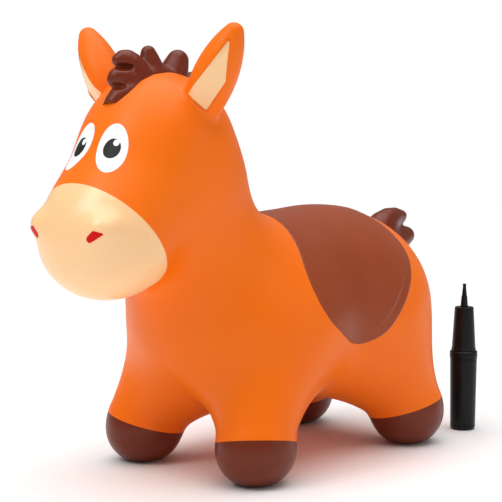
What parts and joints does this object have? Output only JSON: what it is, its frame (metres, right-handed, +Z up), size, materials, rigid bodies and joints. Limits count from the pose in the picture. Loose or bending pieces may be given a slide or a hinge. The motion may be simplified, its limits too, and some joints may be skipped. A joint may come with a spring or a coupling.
{
  "type": "inflatable bouncing horse",
  "caption": "Inflatable ride-on horse whose legs compress as it bounces, with flexing ears, a belly air valve and plug, and a hand pump with a sliding piston and pull-off nozzle.",
  "frame": {"origin": "on the floor under the middle of the whole set: halfway between the muzzle's front and the tail's end, and midway between left and right hooves", "axes": "+X towards the horse's muzzle, +Y towards its left side, +Z up"},
  "size_m": [0.6305, 0.2672, 0.5146],
  "materials": {
    "orange_vinyl": "satin moulded vinyl, orange",
    "cream_vinyl": "satin sprayed vinyl, cream",
    "brown_vinyl": "satin sprayed vinyl, chestnut brown",
    "white_paint": "glossy white paint",
    "pupil_paint": "glossy dark grey paint",
    "red_paint": "glossy red paint",
    "valve_vinyl": "translucent soft vinyl, off-white",
    "pump_black": "moulded black plastic, satin",
    "pump_natural": "natural moulded plastic",
    "pump_rubber": "black soft rubber"
  },
  "bodies": {
    "feet": {"hoof_front_left": "brown_vinyl", "hoof_front_right": "brown_vinyl", "hoof_rear_left": "brown_vinyl", "hoof_rear_right": "brown_vinyl"},
    "horse": {"body_skin": "orange_vinyl", "muzzle": "cream_vinyl", "saddle": "brown_vinyl", "mane": "brown_vinyl", "tail": "brown_vinyl", "leg_front_left": "orange_vinyl", "leg_front_right": "orange_vinyl", "leg_rear_left": "orange_vinyl", "leg_rear_right": "orange_vinyl", "ear_root_left": "orange_vinyl", "ear_root_right": "orange_vinyl", "eye_white_left": "white_paint", "eye_white_right": "white_paint", "pupil_left": "pupil_paint", "pupil_right": "pupil_paint", "eye_glint_left": "white_paint", "eye_glint_right": "white_paint", "nostril_left": "red_paint", "nostril_right": "red_paint", "valve_seat": "valve_vinyl"},
    "ear_left": {"ear_left": "orange_vinyl", "ear_lining_left": "cream_vinyl"},
    "ear_right": {"ear_right": "orange_vinyl", "ear_lining_right": "cream_vinyl"},
    "valve_plug": {"valve_plug": "valve_vinyl"},
    "pump_barrel": {"pump_barrel": "pump_black", "pump_base_cap": "pump_black", "pump_collar": "pump_black", "intake_flap": "pump_rubber"},
    "pump_head": {"pump_grip": "pump_black", "pump_tube": "pump_natural", "pump_piston": "pump_natural", "piston_seal": "pump_rubber", "outlet_flap": "pump_rubber", "nozzle_socket": "pump_black"},
    "nozzle_tip": {"nozzle_tip": "pump_black"}
  },
  "joints": [
    {"name": "bounce", "type": "slide", "parent": "feet", "child": "horse", "axis": [0, 0, 1], "range_m": [-0.025, 0], "stiffness_N_per_m": 5000, "springref_m": 0.004, "deforming": ["leg_front_left", "leg_front_right", "leg_rear_left", "leg_rear_right"]},
    {"name": "ear_left_flex", "type": "hinge", "parent": "horse", "child": "ear_left", "pos_m": [0.1655, 0.07, 0.418], "axis": [0, 1, 0], "range_deg": [-10, 10], "stiffness_Nm_per_rad": 1.5, "deforming": ["ear_root_left"]},
    {"name": "ear_right_flex", "type": "hinge", "parent": "horse", "child": "ear_right", "pos_m": [0.1655, -0.07, 0.418], "axis": [0, 1, 0], "range_deg": [-10, 10], "stiffness_Nm_per_rad": 1.5, "deforming": ["ear_root_right"]},
    {"name": "valve_plug_pull", "type": "slide", "parent": "horse", "child": "valve_plug", "axis": [0, 0, -1], "range_m": [0, 0.025]},
    {"name": "pump_lift", "type": "slide", "parent": "feet", "child": "pump_barrel", "axis": [0, 0, 1], "range_m": [0, 0.25]},
    {"name": "pump_stroke", "type": "slide", "parent": "pump_barrel", "child": "pump_head", "axis": [0, 0, 1], "range_m": [0, 0.062]},
    {"name": "nozzle_tip_pull", "type": "slide", "parent": "pump_head", "child": "nozzle_tip", "axis": [0, 0, 1], "range_m": [0, 0.03]}
  ]
}
